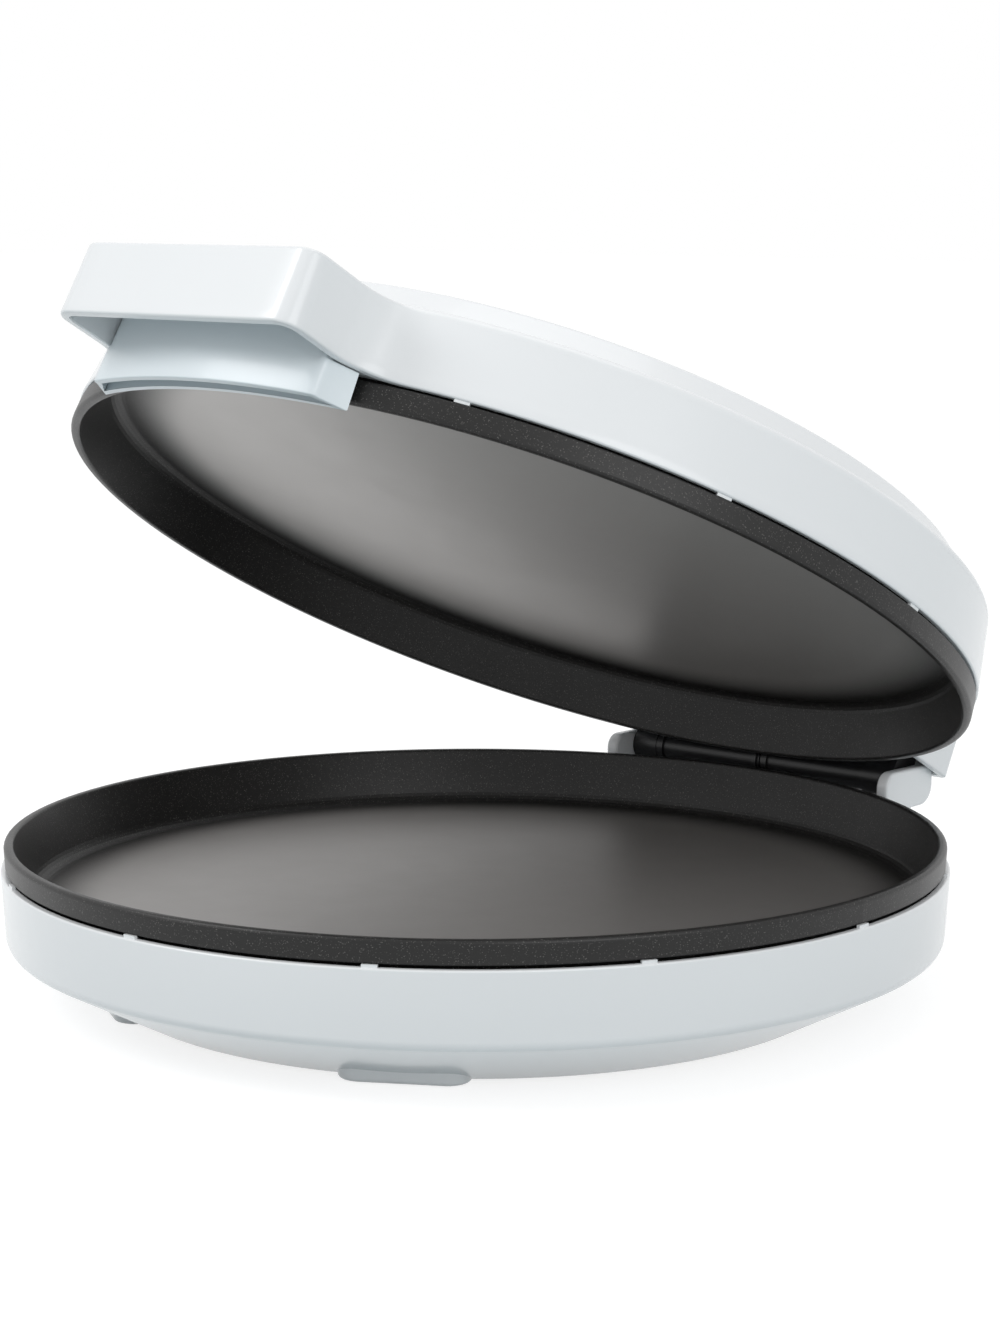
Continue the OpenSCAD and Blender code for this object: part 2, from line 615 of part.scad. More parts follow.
module sector(r0, r1, half_angle, h) rotate([0, 0, -90 - half_angle])
    rotate_extrude(angle = 2 * half_angle, $fn = 180) translate([r0, 0]) square([r1 - r0, h]);
module handle_liner() color(liner_white) on_lid() difference() {
    groove_a = asin((liner_side - 1.4) / liner_front_r);
    skinned([
        raise(liner_outline(liner_low, liner_flare), liner_low),
        raise(liner_outline(skirt_z - slide - 0.1, liner_flare), skirt_z - slide - 0.1),
        raise(liner_outline(skirt_z - slide, 0.2), skirt_z - slide),
        raise(liner_outline(liner_top, 0.2), liner_top)]);
    translate([0, 0, liner_low - 1])
        sector(liner_back_r + liner_t - 0.4, liner_front_r - liner_t - 0.4, groove_a, groove_h + 1);
    translate([0, 0, liner_low + groove_h + groove_floor])
        sector(liner_back_r + 1.8, liner_front_r - liner_lean - liner_t, groove_a - 1, liner_top - liner_low);
}

// Black yoke that hangs the lid on the hinge pins
yoke_leg = [50.3, ear_x - 0.5];
yoke_eye_r = 7;
module hinge_yoke() color(hinge_black) on_lid() on_axis() difference() {
    union() {
        each_side() {
            translate([yoke_leg[0], 0, 0]) rotate([0, 90, 0])
                cylinder(r = yoke_eye_r, h = yoke_leg[1] - yoke_leg[0]);
            along_x(yoke_leg[0], yoke_leg[1]) translate([-6, 0]) square([12, yoke_plate[1]]);
        }
        translate([-yoke_leg[1], -6, yoke_plate[0]])
            cube([2 * yoke_leg[1], 17, yoke_plate[1] - yoke_plate[0]]);
    }
    each_side() {
        translate([yoke_leg[0] - 1, 0, 0]) rotate([0, 90, 0])
            cylinder(r = pin_r + pin_clear, h = yoke_leg[1] - yoke_leg[0] + 2);
        translate([yoke_screw_x, yoke_screw_y, 10]) cylinder(r = screw_r + 0.2, h = 20);
    }
}
module yoke_screw(i) color(steel) on_lid() on_axis()
    translate([(i == 1 ? -1 : 1) * yoke_screw_x, yoke_screw_y, yoke_plate[0] - fit - 2.4]) screw(8);

// Half of the wire guard: a black tube with collars, turning on the end of a pin
module wire_guard() color(hinge_black) on_lid() on_axis() rotate([0, 90, 0]) {
    guard_end = yoke_leg[0] - fit;
    difference() {
        union() {
            translate([0, 0, 0.3]) cylinder(r = guard_r, h = guard_end - 0.3);
            translate([0, 0, 1.4]) cylinder(r = guard_r + 0.8, h = 2.2);
            translate([0, 0, guard_end - 3]) cylinder(r = guard_r + 0.8, h = 3);
        }
        translate([0, 0, -1]) cylinder(r = guard_r - 1.8, h = pin_end);
        translate([0, 0, pin_end - 2]) cylinder(r = pin_r + pin_clear, h = 20);
    }
}
module wire_guard_left() mirror([1, 0, 0]) wire_guard();
module wire_guard_right() wire_guard();

base_housing();
base_pan();
base_element();
base_reflector();
thermostat();
thermal_fuse();
terminal_block();
cord_gland();
hinge_pin_left();
hinge_pin_right();
for (i = [1:4]) foot_pad(i);
for (i = [1:4]) base_screw(i);
for (i = [1:4]) base_clip(i);
lid_housing();
lid_cap();
handle_liner();
lid_pan();
lid_element();
lid_reflector();
hinge_yoke();
wire_guard_left();
wire_guard_right();
power_lens();
ready_lens();
for (i = [1:4]) lid_screw(i);
for (i = [1:4]) lid_clip(i);
for (i = [1:2]) yoke_screw(i);
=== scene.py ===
"""Opened countertop cooker on the CAD frame: smooth housings, coated pans, studio light."""
import math

import bmesh
import bpy
from mathutils import Matrix, Vector


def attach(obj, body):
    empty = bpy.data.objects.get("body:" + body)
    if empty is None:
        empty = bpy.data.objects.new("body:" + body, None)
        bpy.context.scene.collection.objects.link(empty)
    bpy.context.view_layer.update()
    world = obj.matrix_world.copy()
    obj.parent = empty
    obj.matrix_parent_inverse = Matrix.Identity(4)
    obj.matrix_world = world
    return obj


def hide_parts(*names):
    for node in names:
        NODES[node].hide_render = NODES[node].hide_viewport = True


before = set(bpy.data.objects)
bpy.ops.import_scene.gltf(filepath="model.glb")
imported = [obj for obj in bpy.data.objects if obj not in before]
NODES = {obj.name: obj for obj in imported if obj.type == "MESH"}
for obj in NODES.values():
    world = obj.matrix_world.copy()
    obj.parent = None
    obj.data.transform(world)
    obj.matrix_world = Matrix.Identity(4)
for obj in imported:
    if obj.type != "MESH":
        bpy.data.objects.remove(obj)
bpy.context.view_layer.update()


# Sizes in millimetres, angles in degrees, as in the CAD model
RIM_H, OPEN = 54.6, 28.5
HINGE_Y, HINGE_Z, HINGE_RISE = 172.5, 55.6, 1.0
BASE_R, WALL, SEAM, BAND_H = 164.1, 2.6, 1.0, 8.0
BASE_TOP = RIM_H - BAND_H - SEAM
FOOT_R, FOOT_L, FOOT_W, FOOT_CORNER, FOOT_ANGLE, PAD_PROUD = 121.3, 44, 22, 8, 31, 0.5
WELL_RING_R, WELL_R, WELL_TOP, WELL_COUNT = 120, 4.4, 5.7, 4
TAB_W, TAB_COUNT = 5.0, 12
BOTTOM_R, BOTTOM_Z, BAND_FOOT_R, BAND_FOOT_Z = 125.5, 1.2, 162.5, 20.6
SLOPE = math.atan2(BAND_FOOT_Z - BOTTOM_Z, BAND_FOOT_R - BOTTOM_R)
LID_R, SKIRT_Z, SKIRT_H, DRAFT_MM, SHOULDER_R = 164.0, 9.6, 27.0, 3.9, 3.2
SHOULDER_Z = SKIRT_Z + SKIRT_H
SEAT_Z = SHOULDER_Z + 1.8
DRAFT = DRAFT_MM / SKIRT_H
CAP_R, CAP_LEAN, CAP_SIDE, CAP_CROWN, CAP_T = 152.4, 6.0, 9.0, 4.4, 2.2
HANDLE_Y, HANDLE_W, CORNER_R, BLEND_R, HANDLE_WALL = 193.0, 52.8, 8.0, 24.0, 3.6
HANDLE_DRAFT, HANDLE_TOP, HANDLE_EDGE = 1.0, SHOULDER_Z - 1.6, 1.2
LINER_FRONT, LINER_BACK, LINER_T, LINER_FLARE = 176.6, 167.3, 2.4, 5.4
LINER_LOW, LINER_TOP = SKIRT_Z - 13.1, HANDLE_TOP - HANDLE_WALL - 0.05
EAR_X, EAR_T, SHELF_DROP, SHELF_BACK = 62.0, 5.0, 13.0, 4.3
HOOD_W, HOOD_Y, HOOD_Z, HOOD_TOP, HOOD_WALL = 71.5, 188.0, 8.5, 31.5, 3.2
# Radius where the hood starts, above and below the skirt's edge
HOOD_ROOT_HIGH, HOOD_ROOT_LOW = 162.2, 165.2

# From the lid's own frame, shut and with its rim at z = 0, to the open lid
LID = (Matrix.Translation((0, HINGE_Y, HINGE_Z)) @ Matrix.Rotation(math.radians(-OPEN), 4, "X")
       @ Matrix.Translation((0, -HINGE_Y, -HINGE_RISE)))


# Shapes
def arc(centre, r, a0, a1, n):
    """Points on a circle from angle a0 to a1, in n steps."""
    return [(centre[0] + r * math.cos(math.radians(a0 + (a1 - a0) * i / n)),
             centre[1] + r * math.sin(math.radians(a0 + (a1 - a0) * i / n))) for i in range(n + 1)]


def quarter(steps):
    """Angles of a quarter turn, in radians."""
    return [math.pi / 2 * k / steps for k in range(steps + 1)]


def rounded(points, steps=6, closed=True):
    """Points (x, y) or (x, y, radius) as a polyline with its corners rounded."""
    out, n = [], len(points)
    for i, p in enumerate(points):
        r = p[2] if len(p) > 2 else 0
        if r <= 0 or (not closed and i in (0, n - 1)):
            out.append((p[0], p[1]))
            continue
        b = Vector(p[:2])
        u = (Vector(points[i - 1][:2]) - b).normalized()
        v = (Vector(points[(i + 1) % n][:2]) - b).normalized()
        half = u.angle(v) / 2
        centre = b + (u + v).normalized() * (r / math.sin(half))
        first, last = b + u * (r / math.tan(half)) - centre, b + v * (r / math.tan(half)) - centre
        a0 = math.degrees(math.atan2(first.y, first.x))
        turn = math.degrees(math.atan2(last.y, last.x)) - a0
        turn = (turn + 180) % 360 - 180
        out += arc(centre, r, a0, a0 + turn, steps)
    return out


def lathe(profile, steps=256):
    """Surface of revolution of (radius, z) points, closed on the axis where the radius is 0."""
    verts, faces, rows = [], [], []
    for r, z in profile:
        if r < 1e-6:
            rows.append([len(verts)])
            verts.append((0, 0, z))
        else:
            rows.append(list(range(len(verts), len(verts) + steps)))
            verts += [(r * math.cos(2 * math.pi * k / steps), r * math.sin(2 * math.pi * k / steps), z)
                      for k in range(steps)]
    for a, b in zip(rows, rows[1:]):
        for k in range(steps):
            quad = [a[k % len(a)], a[(k + 1) % len(a)], b[(k + 1) % len(b)], b[k % len(b)]]
            face = list(dict.fromkeys(quad))
            if len(face) > 2:
                faces.append(face)
    return verts, faces


def skin(rings, first=False, last=False):
    """Surface over rings with the same number of points; first and last close the ends."""
    n = len(rings[0])
    verts = [p for ring in rings for p in ring]
    faces = [[k * n + i, k * n + (i + 1) % n, (k + 1) * n + (i + 1) % n, (k + 1) * n + i]
             for k in range(len(rings) - 1) for i in range(n)]
    if first:
        faces.append(list(range(n))[::-1])
    if last:
        faces.append([(len(rings) - 1) * n + i for i in range(n)])
    return verts, faces


def raised(outline, z):
    """Flat outline lifted to height z."""
    return [(x, y, z) for x, y in outline]


def joined(*meshes):
    verts, faces = [], []
    for v, f in meshes:
        faces += [[i + len(verts) for i in face] for face in f]
        verts += v
    return verts, faces


def moved(mesh, matrix):
    return [tuple(matrix @ Vector(v)) for v in mesh[0]], mesh[1]


def prism(outline, x0, x1, bevel, steps=4):
    """Outline in the YZ plane extruded along X, its long edges rounded."""
    n = len(outline)
    pts = [Vector(p) for p in outline]
    area = sum(pts[i].cross(pts[(i + 1) % n]) for i in range(n))
    inward = []
    for i in range(n):
        a = (pts[i] - pts[i - 1]).normalized()
        b = (pts[(i + 1) % n] - pts[i]).normalized()
        m = Vector((-a.y - b.y, a.x + b.x))
        m = m.normalized() / max(m.normalized().dot(Vector((-a.y, a.x))), 0.5)
        inward.append(m if area > 0 else -m)
    turns = quarter(steps)
    ends = [(t, x0 + bevel * (1 - math.cos(t))) for t in turns]
    ends += [(t, x1 - bevel * (1 - math.cos(t))) for t in turns[::-1]]
    rings = [[(x, *(p + m * (bevel * (1 - math.sin(t))))) for p, m in zip(pts, inward)] for t, x in ends]
    return skin(rings, True, True)


MOST_SMOOTH = 8   # a face with more corners than this is a flat end


def piece(name, mesh, material, body, nodes=(), on_lid=False, sharp=35):
    """A Blender object from a mesh in millimetres that rides on a CAD body; flat n-gons stay flat."""
    verts, faces = mesh
    if on_lid:
        verts = [tuple(LID @ Vector(v)) for v in verts]
    data = bpy.data.meshes.new(name)
    data.from_pydata([tuple(c / 1000 for c in v) for v in verts], [], faces)
    bm = bmesh.new()
    bm.from_mesh(data)
    bmesh.ops.recalc_face_normals(bm, faces=bm.faces)
    for f in bm.faces:
        f.smooth = len(f.verts) <= MOST_SMOOTH
    for e in bm.edges:
        if len(e.link_faces) == 2 and e.calc_face_angle(0) > math.radians(sharp):
            e.smooth = False
    bm.to_mesh(data)
    bm.free()
    data.materials.append(material)
    obj = bpy.data.objects.new(name, data)
    bpy.context.scene.collection.objects.link(obj)
    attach(obj, body)
    if nodes:
        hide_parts(*nodes)
    return obj


# Materials
def material(name, color, rough, metallic=0.0, coat=0.0, spec=0.5, scale=40.0, vary=0.02,
             bump=0.0, bump_scale=900.0, rough_vary=0.03):
    """Principled material with a slight mottle in colour and gloss, and a fine surface grain."""
    m = bpy.data.materials.new(name)
    m.use_nodes = True
    nt = m.node_tree
    b = nt.nodes["Principled BSDF"]
    b.inputs["Metallic"].default_value = metallic
    b.inputs["Coat Weight"].default_value = coat
    b.inputs["Coat Roughness"].default_value = 0.08
    b.inputs["Specular IOR Level"].default_value = spec
    where = nt.nodes.new("ShaderNodeTexCoord")
    noise = nt.nodes.new("ShaderNodeTexNoise")
    noise.inputs["Scale"].default_value = scale
    noise.inputs["Detail"].default_value = 4
    nt.links.new(where.outputs["Object"], noise.inputs["Vector"])
    ramp = nt.nodes.new("ShaderNodeValToRGB")
    ramp.color_ramp.elements[0].position = 0.3
    ramp.color_ramp.elements[1].position = 0.7
    ramp.color_ramp.elements[0].color = (*[max(c * (1 - vary), 0) for c in color], 1)
    ramp.color_ramp.elements[1].color = (*[min(c * (1 + vary), 1) for c in color], 1)
    nt.links.new(noise.outputs["Fac"], ramp.inputs["Fac"])
    nt.links.new(ramp.outputs["Color"], b.inputs["Base Color"])
    gloss = nt.nodes.new("ShaderNodeMapRange")
    gloss.inputs["To Min"].default_value = rough - rough_vary
    gloss.inputs["To Max"].default_value = rough + rough_vary
    nt.links.new(noise.outputs["Fac"], gloss.inputs["Value"])
    nt.links.new(gloss.outputs["Result"], b.inputs["Roughness"])
    if bump:
        fine = nt.nodes.new("ShaderNodeTexNoise")
        fine.inputs["Scale"].default_value = bump_scale
        fine.inputs["Detail"].default_value = 2
        nt.links.new(where.outputs["Object"], fine.inputs["Vector"])
        bm = nt.nodes.new("ShaderNodeBump")
        bm.inputs["Strength"].default_value = bump
        bm.inputs["Distance"].default_value = 0.0002
        nt.links.new(fine.outputs["Fac"], bm.inputs["Height"])
        nt.links.new(bm.outputs["Normal"], b.inputs["Normal"])
    return m


def mixed(nt, factor, low, high, kind):
    """Mix node between two values or colours; low may be a socket."""
    mix = nt.nodes.new("ShaderNodeMix")
    mix.data_type = kind
    nt.links.new(factor, mix.inputs["Factor"])
    if hasattr(low, "is_linked"):
        nt.links.new(low, mix.inputs["A"])
    else:
        mix.inputs["A"].default_value = low
    mix.inputs["B"].default_value = high
    return mix.outputs["Result"]


PAINTED_SHEEN_OUTER_R, PAINTED_SHEEN_FULL_R = 0.154, 0.128   # metres: black outside the first, full painted sheen (grey) inside the second, a painted shade fade between


def coated(name, wall, fleck, rough, floor, axis):
    """Non-stick coat: black with a fine metallic fleck; on the round floor a grey metallic colour is painted
    sheen, fading to black towards the wall as painted shade.

    axis holds a point on the pan's axis, in metres, and the axis' direction.
    """
    m = material(name, wall, rough, spec=0.36, scale=60, vary=0.06, bump=0.22, bump_scale=1400,
                 rough_vary=0.04)
    nt = m.node_tree
    b = nt.nodes["Principled BSDF"]
    where = nt.nodes["Texture Coordinate"].outputs["Object"]
    cells = nt.nodes.new("ShaderNodeTexVoronoi")
    cells.inputs["Scale"].default_value = 3600
    nt.links.new(where, cells.inputs["Vector"])
    pick = nt.nodes.new("ShaderNodeSeparateColor")
    nt.links.new(cells.outputs["Color"], pick.inputs["Color"])
    few = nt.nodes.new("ShaderNodeMapRange")
    few.inputs["From Min"].default_value = 0.93
    nt.links.new(pick.outputs["Red"], few.inputs["Value"])
    flecked = mixed(nt, few.outputs["Result"], nt.nodes["Color Ramp"].outputs["Color"], (*fleck, 1), "RGBA")
    step = where
    for operation, value in (("SUBTRACT", axis[0]), ("CROSS_PRODUCT", axis[1]), ("LENGTH", None)):
        node = nt.nodes.new("ShaderNodeVectorMath")
        node.operation = operation
        if value is not None:
            node.inputs[1].default_value = value
        nt.links.new(step, node.inputs[0])
        step = node.outputs["Value" if operation == "LENGTH" else "Vector"]
    # Painted sheen mask: the floor's grey grows inward from the wall, with a painted shade fade at its edge
    inner = nt.nodes.new("ShaderNodeMapRange")
    inner.interpolation_type = "SMOOTHSTEP"
    inner.inputs["From Min"].default_value = PAINTED_SHEEN_OUTER_R
    inner.inputs["From Max"].default_value = PAINTED_SHEEN_FULL_R
    nt.links.new(step, inner.inputs["Value"])
    painted_sheen_on_floor = inner.outputs["Result"]
    # The floor's grey base colour here is painted reflection, not the coat's own colour
    nt.links.new(mixed(nt, painted_sheen_on_floor, flecked, (*floor, 1), "RGBA"), b.inputs["Base Color"])
    nt.links.new(mixed(nt, painted_sheen_on_floor, 0.0, 0.5, "FLOAT"), b.inputs["Metallic"])
    return m


SHELL = material("shell", (0.825, 0.84, 0.85), 0.24, coat=0.25, scale=12, vary=0.008, bump=0.03,
                 bump_scale=2200, rough_vary=0.02)
LINER = material("liner", (0.78, 0.84, 0.87), 0.30, coat=0.1, scale=20, vary=0.012, bump=0.04,
                 bump_scale=1800)
COAT = ((0.010, 0.0097, 0.0094), (0.11, 0.105, 0.10), 0.38)
# One coat in both pans; the floor grey is painted sheen, made lighter in the lid pan as painted reflection of
# the white floor below it
PAN = coated("coated_pan_painted_sheen", *COAT, (0.30, 0.288, 0.28), ((0, 0, 0), (0, 0, 1)))
LID_PAN = coated("coated_lid_pan_painted_sheen", *COAT, (0.56, 0.537, 0.52),
                 (LID @ Vector((0, 0, 0)) / 1000, LID.to_3x3() @ Vector((0, 0, 1))))
BLACK = material("black_plastic", (0.012, 0.012, 0.013), 0.34, scale=90, vary=0.15, bump=0.12,
                 bump_scale=1500)
RUBBER = material("grey_rubber", (0.24, 0.27, 0.29), 0.72, scale=70, vary=0.08, bump=0.3, bump_scale=1200)
GLAND = material("black_rubber", (0.018, 0.018, 0.019), 0.62, scale=70, vary=0.15, bump=0.2, bump_scale=1200)
STEEL = material("steel", (0.50, 0.51, 0.52), 0.30, metallic=1.0, scale=120, vary=0.05, bump=0.08,
                 bump_scale=1600)
SHEET = material("bright_sheet", (0.68, 0.69, 0.70), 0.26, metallic=1.0, scale=60, vary=0.04, bump=0.08)
CERAMIC = material("pale_insulator", (0.66, 0.60, 0.46), 0.55, scale=80, vary=0.05, bump=0.15)
RED = material("red_lens", (0.55, 0.06, 0.03), 0.12, coat=0.6, scale=150, vary=0.08)
GREEN = material("green_lens", (0.05, 0.36, 0.11), 0.12, coat=0.6, scale=150, vary=0.08)

# The first key that a CAD node's name holds gives its material
NODE_MATERIALS = (
    ("housing", SHELL), ("lid_cap", SHELL), ("liner", LINER), ("base_pan", PAN), ("lid_pan", LID_PAN),
    ("foot_pad", RUBBER), ("gland", GLAND), ("element", STEEL), ("reflector", SHEET), ("clip", SHEET),
    ("screw", STEEL), ("hinge_pin", STEEL), ("thermostat", SHEET), ("fuse", CERAMIC), ("terminal", CERAMIC),
    ("yoke", BLACK), ("wire_guard", BLACK), ("power", RED), ("ready", GREEN))
for node, obj in NODES.items():
    for key, mat in NODE_MATERIALS:
        if key in node:
            for i in range(len(obj.data.materials)):
                obj.data.materials[i] = mat
            break


# Base
def foot(angle):
    """Foot with a rounded lower edge, its top buried in the sloping wall."""
    edge_r, lean = 1.6, 0.6

    def outline(d):
        x, y, r = FOOT_L / 2 - d, FOOT_W / 2 - d, FOOT_CORNER - d
        return rounded([(-x, -y, r), (x, -y, r), (x, y, r), (-x, y, r)], 8)

    rings = [raised(outline(lean + edge_r * (1 - math.sin(t))), PAD_PROUD + edge_r * (1 - math.cos(t)))
             for t in quarter(6)]
    top = [(x, y, BOTTOM_Z + 1.4 + max(math.hypot(x, y - FOOT_R) - BOTTOM_R, 0) * math.tan(SLOPE))
           for x, y in outline(0)]
    rings.append(top)
    turn = Matrix.Rotation(math.radians(angle), 4, "Z") @ Matrix.Translation((0, -FOOT_R, 0))
    return moved(skin(rings, True, True), turn)


def tabs(r, z, h):
    """Spacer tabs round the seam, just inside radius r."""
    inner, outer, half = r - WALL + 0.6, r - 0.8, TAB_W / 2
    ring = [(inner, -half), (outer, -half), (outer, half), (inner, half)]
    tab = skin([raised(ring, z), raised(ring, z + h)], True, True)
    return joined(*[moved(tab, Matrix.Rotation(math.radians(360 / TAB_COUNT * i), 4, "Z"))
                    for i in range(TAB_COUNT)])


def shelf():
    """Shelf between the ears, its front edge buried in the round side band."""
    band_high, band_low, bottom = 162.6, 161.6, -33
    rings = []
    for k in range(41):
        x = (EAR_X + 1) * (k / 20 - 1)
        high, low = math.sqrt(band_high ** 2 - x * x) - HINGE_Y, math.sqrt(band_low ** 2 - x * x) - HINGE_Y
        profile = [(low, bottom), (SHELF_BACK, bottom, 2), (SHELF_BACK, -SHELF_DROP, 1.5),
                   (high, -SHELF_DROP)]
        rings.append([(x, y, z) for y, z in rounded(profile, 8)])
    return skin(rings, True, True)


def bowl():
    """Round wall and bottom of the base, as a profile turned about Z."""
    inner_foot_z = BAND_FOOT_Z + WALL * (1 / math.cos(SLOPE) - math.tan(SLOPE))
    return lathe(rounded(
        [(0, BOTTOM_Z), (BOTTOM_R, BOTTOM_Z, 2.5), (BAND_FOOT_R, BAND_FOOT_Z, 4.5), (BASE_R, BASE_TOP, 0.7),
         (BASE_R - WALL, BASE_TOP, 0.4), (BAND_FOOT_R - WALL, inner_foot_z, 3),
         (BOTTOM_R - 0.7, BOTTOM_Z + WALL, 1), (0, BOTTOM_Z + WALL)], 8, closed=False))


def fittings():
    """Tabs, hinge ears, shelf and feet; the ear's profile is given from the hinge axis."""
    ear = rounded([(-17.3, 5.1, 5.5), (13.6, 5.1, 2.5), (13.6, -9.9, 7.5), (-1, -9.9, 2), (-4, -27, 0),
                   (-24.6, -27, 0), (-23.6, -11.5, 0), (-17.3, -11.5, 1.5)][::-1], 8)
    ear_edge_r = 1.1
    at = Matrix.Translation((0, HINGE_Y, HINGE_Z))
    back = [moved(prism(ear, EAR_X, EAR_X + EAR_T, ear_edge_r), at),
            moved(prism(ear, -EAR_X - EAR_T, -EAR_X, ear_edge_r), at), moved(shelf(), at)]
    feet = [foot(a) for a in (-FOOT_ANGLE, FOOT_ANGLE, 180 - FOOT_ANGLE, 180 + FOOT_ANGLE)]
    return joined(tabs(BASE_R, BASE_TOP - 1, 1 + SEAM - 0.05), *back, *feet)


bowl_piece = piece("base_bowl", bowl(), SHELL, "base", ["base_housing"])
for i in range(WELL_COUNT):
    well = lathe([(0, -2), (WELL_R, -2), (WELL_R, WELL_TOP), (0, WELL_TOP)], 48)
    cutter = bpy.data.meshes.new("well")
    turn = Matrix.Rotation(math.radians(360 / WELL_COUNT * i), 4, "Z")
    verts, faces = moved(well, turn @ Matrix.Translation((WELL_RING_R, 0, 0)))
    cutter.from_pydata([tuple(c / 1000 for c in v) for v in verts], [], faces)
    tool = bpy.data.objects.new("well", cutter)
    bpy.context.scene.collection.objects.link(tool)
    cut = bowl_piece.modifiers.new("well", "BOOLEAN")
    cut.operation, cut.object, cut.solver = "DIFFERENCE", tool, "EXACT"
    with bpy.context.temp_override(object=bowl_piece, active_object=bowl_piece):
        bpy.ops.object.modifier_apply(modifier=cut.name)
    bpy.data.objects.remove(tool)
piece("base_fittings", fittings(), SHELL, "base", ())


# Lid
def blend_centre(r, h):
    """Centre of the blend circle that touches the flank inset by h and the circle of radius r."""
    x = HANDLE_W - h + BLEND_R
    return x, -math.sqrt((r + BLEND_R) ** 2 - x * x)


def handle_line(r, h):
    """Right half of the handle's plan inset by h, from the middle of its front to the circle of radius r."""
    corner = max(CORNER_R - h, 0.3)
    c = (HANDLE_W - h - corner, -HANDLE_Y + h + corner)
    b = blend_centre(r, h)
    return ([(c[0] * k / 8, -HANDLE_Y + h) for k in range(1, 8)] + arc(c, corner, -90, 0, 10)
            + arc(b, BLEND_R, 180, math.degrees(math.atan2(-b[1], -b[0])), 20)[1:])


def lid_outline(r, h):
    """Plan of the skirt of radius r with the handle inset by h, in one line."""
    b = blend_centre(r, h)
    half = handle_line(r, h) + arc((0, 0), r, math.degrees(math.atan2(b[1], b[0])), 90, 100)[1:]
    return [(0, -HANDLE_Y + h)] + half + [(-x, y) for x, y in half[-2::-1]]


def handle_outline(r, h, inside):
    """The handle alone, closed along the circle of radius inside."""
    half = handle_line(r, h)
    a = math.degrees(math.atan2(half[-1][1], half[-1][0]))
    back = arc((0, 0), inside, a, -180 - a, 30)[1:-1]
    return [(-x, y) for x, y in half[::-1]] + [(0, -HANDLE_Y + h)] + half + back


def lid_shell():
    """Skirt and handle in one wall, the handle's top and inner walls, and the turned shoulder."""
    lip_r = 0.8
    inner_r = LID_R - WALL - 0.6
    top = HANDLE_TOP - HANDLE_EDGE
    height = top - SKIRT_Z
    hollow = HANDLE_TOP - HANDLE_WALL
    rings = [raised(lid_outline(inner_r, HANDLE_WALL + HANDLE_DRAFT), hollow),
             raised(lid_outline(LID_R - WALL, HANDLE_WALL), SKIRT_Z + 0.4),
             raised(lid_outline(LID_R - WALL + 0.4, HANDLE_WALL - 0.4), SKIRT_Z)]
    for t in quarter(5):
        d = lip_r * (1 - math.sin(t))
        rings.append(raised(lid_outline(LID_R - d, d), SKIRT_Z + lip_r * (1 - math.cos(t))))
    for k in range(1, 9):
        z = lip_r + (height - lip_r) * k / 8
        rings.append(raised(lid_outline(LID_R - DRAFT * z, HANDLE_DRAFT * z / height), SKIRT_Z + z))
    r = LID_R - DRAFT * height
    roof = []
    for t in quarter(6):
        up, inset = HANDLE_EDGE * math.sin(t), HANDLE_EDGE * (1 - math.cos(t))
        roof.append(raised(handle_outline(r - DRAFT * up, HANDLE_DRAFT + inset, r - 4), top + up))
    roof.append(raised(handle_outline(r - 0.3, HANDLE_DRAFT + HANDLE_EDGE + 0.6, r - 4), HANDLE_TOP))
    ceiling = raised(handle_outline(inner_r, HANDLE_WALL + HANDLE_DRAFT, inner_r - 0.2), hollow)

    def across(radius):
        """Plan of the skirt's wall where it crosses the handle."""
        return arc((0, 0), radius, -66, -114, 48) + arc((0, 0), radius - 2.4, -114, -66, 48)

    wall = skin([raised(across(LID_R - 0.6), SKIRT_Z + 0.6), raised(across(r - 0.6), hollow)], True)
    shoulder = LID_R - DRAFT_MM
    upper = lathe(rounded([(r, top), (shoulder, SHOULDER_Z, SHOULDER_R), (shoulder - 6, SEAT_Z, 0.6),
                           (120, SEAT_Z)], 10, closed=False), 360)
    return joined(skin(rings), skin(roof, False, True), (ceiling, [list(range(len(ceiling)))]), wall, upper,
                  tabs(LID_R, SKIRT_Z - SEAM + 0.05, 1 + SEAM - 0.05))


def hood():
    """Hood over the hinge, hollow from below, its front buried in the skirt and the pan's band."""
    top_r, edge_r = 4, 0.6

    def outline(d, z, corner=3.0):
        r = HOOD_ROOT_LOW if z < SKIRT_Z else HOOD_ROOT_HIGH
        x = HOOD_W - d
        a = math.degrees(math.asin(x / r))
        c = max(corner - d, 0.4)
        back = rounded([(x, 150), (x, HOOD_Y - d, c), (-x, HOOD_Y - d, c), (-x, 150)], 8)[1:-1]
        return raised(back + arc((0, 0), r, 90 + a, 90 - a, 30), z)

    rings = [outline(HOOD_WALL + 0.4, 28), outline(HOOD_WALL, HOOD_Z + 0.5), outline(HOOD_WALL - 0.4, HOOD_Z)]
    rings += [outline(edge_r * (1 - math.sin(t)), HOOD_Z + edge_r * (1 - math.cos(t))) for t in quarter(4)]
    rings += [outline(0, SKIRT_Z - 0.1), outline(0, SKIRT_Z + 0.1)]
    rings += [outline(top_r * (1 - math.cos(t)), HOOD_TOP - top_r + top_r * math.sin(t)) for t in quarter(8)]
    return skin(rings, True, True)


def cap():
    """Raised cap with a leaning side and a crowned top."""
    foot_z, flat_r = SEAT_Z + 0.05, 110

    def crown(r):
        return foot_z + CAP_SIDE + CAP_CROWN * (1 - (r / (CAP_R - CAP_LEAN)) ** 2)

    edge = rounded([(CAP_R, foot_z), (CAP_R - CAP_LEAN, foot_z + CAP_SIDE, 3.2), (flat_r, crown(flat_r))], 10,
                   closed=False)
    top = [flat_r * (24 - k) / 24 for k in range(1, 25)]
    return lathe([(CAP_R - CAP_T, foot_z)] + edge + [(r, crown(r)) for r in top])


